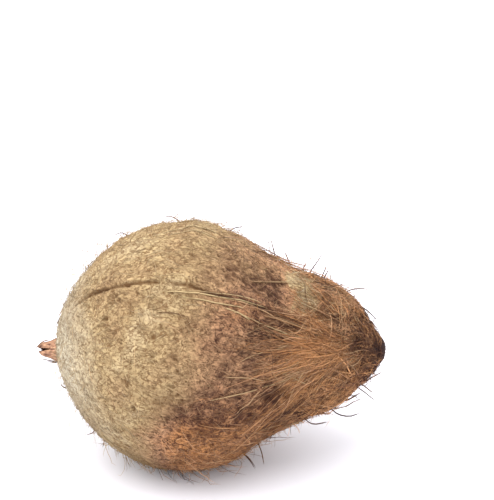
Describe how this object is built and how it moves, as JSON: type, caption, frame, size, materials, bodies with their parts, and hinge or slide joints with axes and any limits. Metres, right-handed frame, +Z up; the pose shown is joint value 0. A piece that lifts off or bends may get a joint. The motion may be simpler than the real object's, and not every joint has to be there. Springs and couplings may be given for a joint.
{
  "type": "husked coconut",
  "caption": "Round husked coconut lying on its side, matted in brown coir, with a combed tuft round a blunt dark tip at one end and a torn stub of husk at the other.",
  "frame": {"origin": "middle of the small flat spot that the nut rests on, under its centre of weight", "axes": "+X along the nut's long axis towards the tuft, +Z up from the surface that it lies on"},
  "size_m": [0.1685, 0.1205, 0.1171],
  "materials": {
    "coir": "matte"
  },
  "bodies": {
    "root": {"coconut": "coir"}
  },
  "joints": []
}
